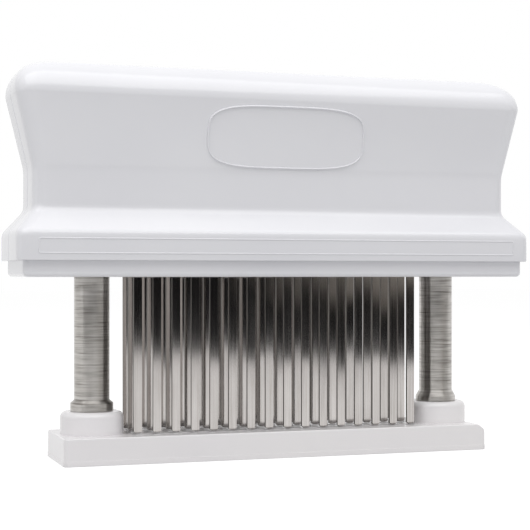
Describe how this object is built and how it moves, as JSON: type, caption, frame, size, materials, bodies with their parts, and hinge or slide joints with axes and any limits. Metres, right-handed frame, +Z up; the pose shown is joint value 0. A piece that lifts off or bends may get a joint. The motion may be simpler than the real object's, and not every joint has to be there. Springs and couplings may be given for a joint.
{
  "type": "blade meat tenderizer",
  "caption": "Hand press that pushes rows of flat steel knives through a slotted base; the two-shell handle slides down two sprung columns.",
  "frame": {"origin": "middle of the base plate's underside", "axes": "X along the handle, Y from front to rear, Z up along the columns"},
  "size_m": [0.146, 0.0319, 0.106],
  "materials": {
    "white_shell": "cool white glossy moulded plastic",
    "white_base": "milky white glossy moulded plastic",
    "knife_steel": "bright rolled stainless strip, fine lengthwise grain",
    "turned_steel": "turned stainless with fine rings",
    "fastener_steel": "plain stainless",
    "spring_steel": "spring wire",
    "acetal": "natural acetal"
  },
  "bodies": {
    "base": {"base_plate": "white_base", "column_left": "turned_steel", "column_right": "turned_steel", "column_screws": "fastener_steel", "column_clips": "spring_steel"},
    "handle": {"handle_shell_front": "white_shell", "handle_shell_rear": "white_shell", "blade_block_front": "white_shell", "blade_block_rear": "white_shell", "knife_row_front": "knife_steel", "knife_row_middle": "knife_steel", "knife_row_rear": "knife_steel", "blade_clamp_plate": "fastener_steel", "clamp_screws": "fastener_steel", "block_screws": "fastener_steel", "shell_screws": "fastener_steel", "bushing_left": "acetal", "bushing_right": "acetal", "spring_cap_left": "acetal", "spring_cap_right": "acetal", "spring_left": "spring_steel", "spring_right": "spring_steel"}
  },
  "joints": [
    {"name": "handle_press", "type": "slide", "parent": "base", "child": "handle", "axis": [0, 0, -1], "range_m": [0, 0.0325], "stiffness_N_per_m": 900, "springref_m": -0.012, "deforming": ["spring_left", "spring_right"]}
  ]
}
